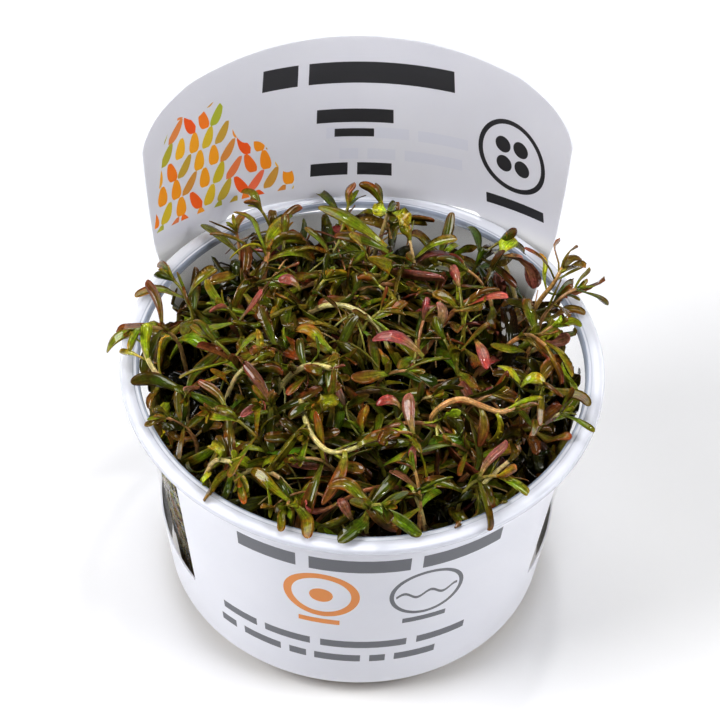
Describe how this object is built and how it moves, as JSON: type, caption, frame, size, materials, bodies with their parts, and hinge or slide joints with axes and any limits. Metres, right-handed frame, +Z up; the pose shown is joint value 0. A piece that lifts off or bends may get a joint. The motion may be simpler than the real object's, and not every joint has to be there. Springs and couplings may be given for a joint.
{
  "type": "potted rotala plant",
  "caption": "Rotala shoots in nutrient gel in an open round clear cup, with a wrap sleeve that has side windows and a tall arched tag.",
  "frame": {"origin": "centre of the cup's flat underside", "axes": "+Z up along the cup's axis, the tag stands at the back on the +Y side, the front panel faces -Y"},
  "size_m": [0.0965, 0.1024, 0.0955],
  "materials": {
    "clear_plastic": "clear, glossy",
    "sleeve_plastic": "thin white sheet, satin",
    "gel_amber": "soft wet gel",
    "mat_green": "wet leaves",
    "leaf_green": "wet leaves",
    "leaf_olive": "wet leaves",
    "leaf_bright": "wet leaves",
    "leaf_bronze": "wet leaves",
    "leaf_rose": "wet leaves"
  },
  "bodies": {
    "root": {"cup": "clear_plastic", "sleeve": "sleeve_plastic", "nutrient_gel": "gel_amber", "small_shoots": "mat_green", "shoot_01": "leaf_green", "shoot_02": "leaf_olive", "shoot_03": "leaf_bright", "shoot_04": "leaf_bronze", "shoot_05": "leaf_rose", "shoot_06": "leaf_green", "shoot_07": "leaf_olive", "shoot_08": "leaf_bright", "shoot_09": "leaf_bronze", "shoot_10": "leaf_rose", "shoot_11": "leaf_green", "shoot_12": "leaf_olive", "shoot_13": "leaf_bright", "shoot_14": "leaf_bronze", "shoot_15": "leaf_rose", "shoot_16": "leaf_green", "shoot_17": "leaf_olive", "shoot_18": "leaf_bright", "shoot_19": "leaf_bronze", "shoot_20": "leaf_rose", "shoot_21": "leaf_green", "shoot_22": "leaf_olive", "shoot_23": "leaf_bright", "shoot_24": "leaf_bronze", "shoot_25": "leaf_rose", "shoot_26": "leaf_green", "shoot_27": "leaf_olive", "shoot_28": "leaf_bright", "shoot_29": "leaf_bronze", "shoot_30": "leaf_rose", "shoot_31": "leaf_green", "shoot_32": "leaf_olive", "shoot_33": "leaf_bright", "shoot_34": "leaf_bronze", "shoot_35": "leaf_rose", "shoot_36": "leaf_green", "shoot_37": "leaf_olive", "shoot_38": "leaf_bright", "shoot_39": "leaf_bronze", "shoot_40": "leaf_rose", "shoot_41": "leaf_green", "shoot_42": "leaf_olive", "shoot_43": "leaf_bright", "shoot_44": "leaf_bronze", "shoot_45": "leaf_rose", "shoot_46": "leaf_green", "shoot_47": "leaf_olive", "shoot_48": "leaf_bright", "shoot_49": "leaf_bronze", "shoot_50": "leaf_rose"}
  },
  "joints": []
}
